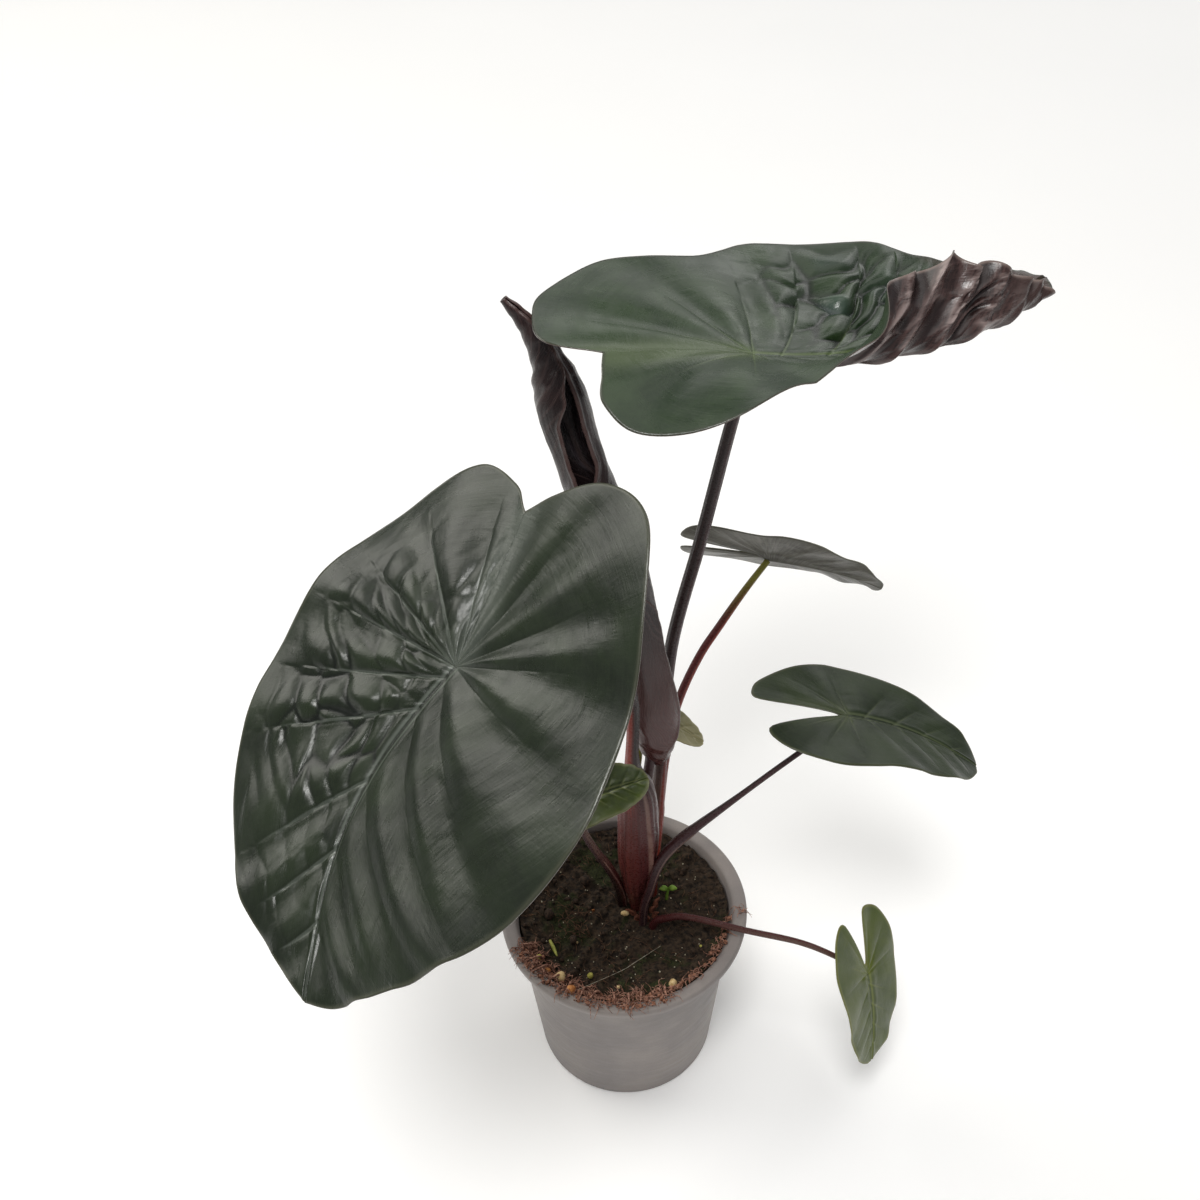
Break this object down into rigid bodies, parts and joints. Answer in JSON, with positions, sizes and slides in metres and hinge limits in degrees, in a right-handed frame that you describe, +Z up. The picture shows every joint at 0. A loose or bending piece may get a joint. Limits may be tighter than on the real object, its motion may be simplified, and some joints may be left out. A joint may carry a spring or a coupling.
{
  "type": "potted serendipity alocasia",
  "caption": "House plant in a grey nursery pot: large dark puckered leaves, a rolled young leaf and small arrow-shaped leaves on reddish stalks.",
  "frame": {"origin": "middle of the pot's flat base, on the surface that the pot stands on", "axes": "+Z up, -Y towards the viewer and the largest leaf, +X to the right as seen from the front"},
  "size_m": [0.3214, 0.2699, 0.403],
  "materials": {
    "pot": "grey moulded plastic, slight sheen",
    "soil": null,
    "seedling": "soft bright green; leather stands in for living tissue",
    "leaf_front_left": "leathery leaf blade, satin to glossy; leather stands in for living tissue",
    "leaf_upper_right": "leathery leaf blade, satin to glossy; leather stands in for living tissue",
    "leaf_rolled": "leathery leaf blade, satin to glossy; leather stands in for living tissue",
    "leaf_back_right": "leathery leaf blade, satin to glossy; leather stands in for living tissue",
    "leaf_right": "leathery leaf blade, satin to glossy; leather stands in for living tissue",
    "leaf_low_right": "leathery leaf blade, satin to glossy; leather stands in for living tissue",
    "leaf_back": "leathery leaf blade, satin to glossy; leather stands in for living tissue",
    "leaf_under_front": "leathery leaf blade, satin to glossy; leather stands in for living tissue",
    "stalk_front_left": "smooth leaf stalk, satin; leather stands in for living tissue",
    "stalk_upper_right": "smooth leaf stalk, satin; leather stands in for living tissue",
    "stalk_rolled": "smooth leaf stalk, satin; leather stands in for living tissue",
    "stalk_back_right": "smooth leaf stalk, satin; leather stands in for living tissue",
    "stalk_right": "smooth leaf stalk, satin; leather stands in for living tissue",
    "stalk_low_right": "smooth leaf stalk, satin; leather stands in for living tissue",
    "stalk_back": "smooth leaf stalk, satin; leather stands in for living tissue",
    "stalk_under_front": "smooth leaf stalk, satin; leather stands in for living tissue"
  },
  "bodies": {
    "root": {"pot": "pot", "soil": "soil", "seedling": "seedling", "leaf_front_left": "leaf_front_left", "leaf_upper_right": "leaf_upper_right", "leaf_rolled": "leaf_rolled", "leaf_back_right": "leaf_back_right", "leaf_right": "leaf_right", "leaf_low_right": "leaf_low_right", "leaf_back": "leaf_back", "leaf_under_front": "leaf_under_front", "stalk_front_left": "stalk_front_left", "stalk_upper_right": "stalk_upper_right", "stalk_rolled": "stalk_rolled", "stalk_back_right": "stalk_back_right", "stalk_right": "stalk_right", "stalk_low_right": "stalk_low_right", "stalk_back": "stalk_back", "stalk_under_front": "stalk_under_front"}
  },
  "joints": []
}
